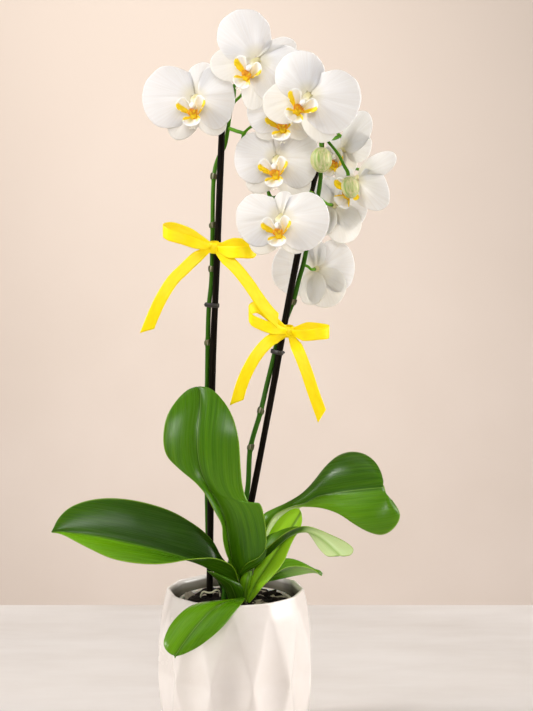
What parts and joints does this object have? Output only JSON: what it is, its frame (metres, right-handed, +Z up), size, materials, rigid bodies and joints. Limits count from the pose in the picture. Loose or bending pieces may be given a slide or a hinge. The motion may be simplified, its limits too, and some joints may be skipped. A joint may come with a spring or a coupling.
{
  "type": "potted orchid",
  "caption": "Moth orchid with staked flower spikes, white blooms, buds, arching leaves and ribbon bows, in a scooped glazed ceramic pot.",
  "frame": {"origin": "centre of the pot's flat base, on the surface that it stands on", "axes": "+Z up along the pot's axis, -Y towards the side that the blooms face, +X to the right seen from there"},
  "size_m": [0.3135, 0.1888, 0.6756],
  "materials": {
    "glazed_pot": "warm white glaze, soft gloss",
    "liner": "thin milky see-through plastic",
    "bark": "damp bark chips, matt",
    "stake": "dark stained cane, glossy, streaked",
    "crown": "green leaf sheaths, satin",
    "root": "silvery root skin, matt",
    "stem": "smooth green stem, satin",
    "leaf": "glossy green with a yellow-green margin",
    "petal": "white with cream shading and fine veins, satin",
    "lip": "white with yellow and orange markings, satin",
    "bud": "cream green with green streaks, satin",
    "clip": "black, matt",
    "ribbon": "yellow satin ribbon"
  },
  "bodies": {
    "root": {"pot": "glazed_pot", "liner_pot": "liner", "bark": "bark", "stake_left": "stake", "stake_right": "stake", "crown": "crown", "air_root": "root", "spike_left": "stem", "spike_right": "stem", "leaf_1": "leaf", "leaf_2": "leaf", "leaf_3": "leaf", "leaf_4": "leaf", "leaf_5": "leaf", "leaf_6": "leaf", "leaf_7": "leaf", "bloom_A": "petal", "bloom_B": "petal", "bloom_C": "petal", "bloom_D": "petal", "bloom_E": "petal", "bloom_F": "petal", "bloom_G": "petal", "bloom_H": "petal", "bloom_I": "petal", "bloom_J": "petal", "lip_A": "lip", "lip_B": "lip", "lip_C": "lip", "lip_D": "lip", "lip_E": "lip", "lip_F": "lip", "lip_G": "lip", "lip_H": "lip", "lip_I": "lip", "lip_J": "lip", "bud_1": "bud", "bud_2": "bud", "clip_left": "clip", "clip_right": "clip", "ribbon_left": "ribbon", "ribbon_right": "ribbon"}
  },
  "joints": []
}
